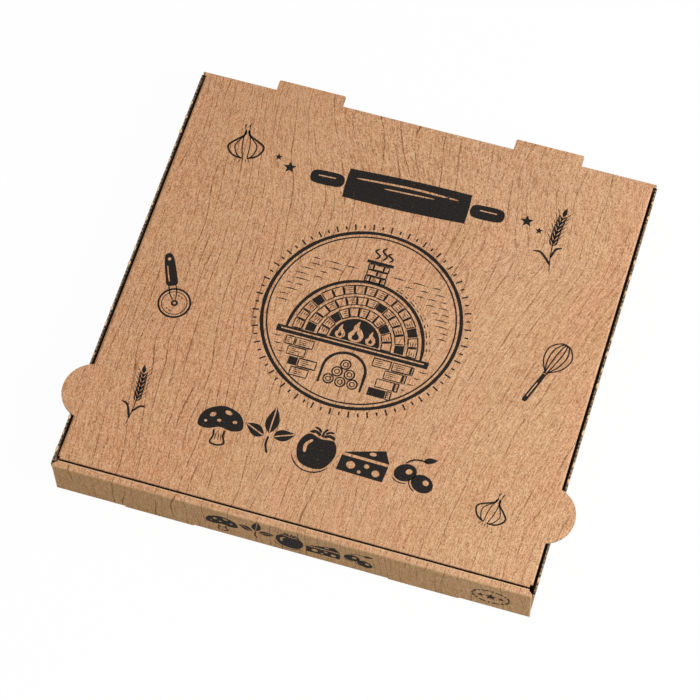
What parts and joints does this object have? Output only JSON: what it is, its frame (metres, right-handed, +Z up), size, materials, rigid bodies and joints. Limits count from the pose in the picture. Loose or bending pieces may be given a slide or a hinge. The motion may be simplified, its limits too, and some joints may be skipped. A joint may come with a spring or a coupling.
{
  "type": "pizza box",
  "caption": "Flat square corrugated board box with a rolled front wall, and a lid that hinges on the rear wall.",
  "frame": {"origin": "middle of the floor's underside", "axes": "+X along the front edge to the right, +Y from the front wall to the hinged rear wall, +Z up"},
  "size_m": [0.356, 0.3314, 0.035],
  "materials": {
    "tray_board": "plain kraft liner",
    "lid_board": "kraft liner with a printed wood grain"
  },
  "bodies": {
    "tray": {"tray": "tray_board"},
    "lid": {"lid": "lid_board"}
  },
  "joints": [
    {"name": "lid_hinge", "type": "hinge", "parent": "tray", "child": "lid", "pos_m": [0, 0.1615, 0.035], "axis": [-1, 0, 0], "range_deg": [0, 180]}
  ]
}
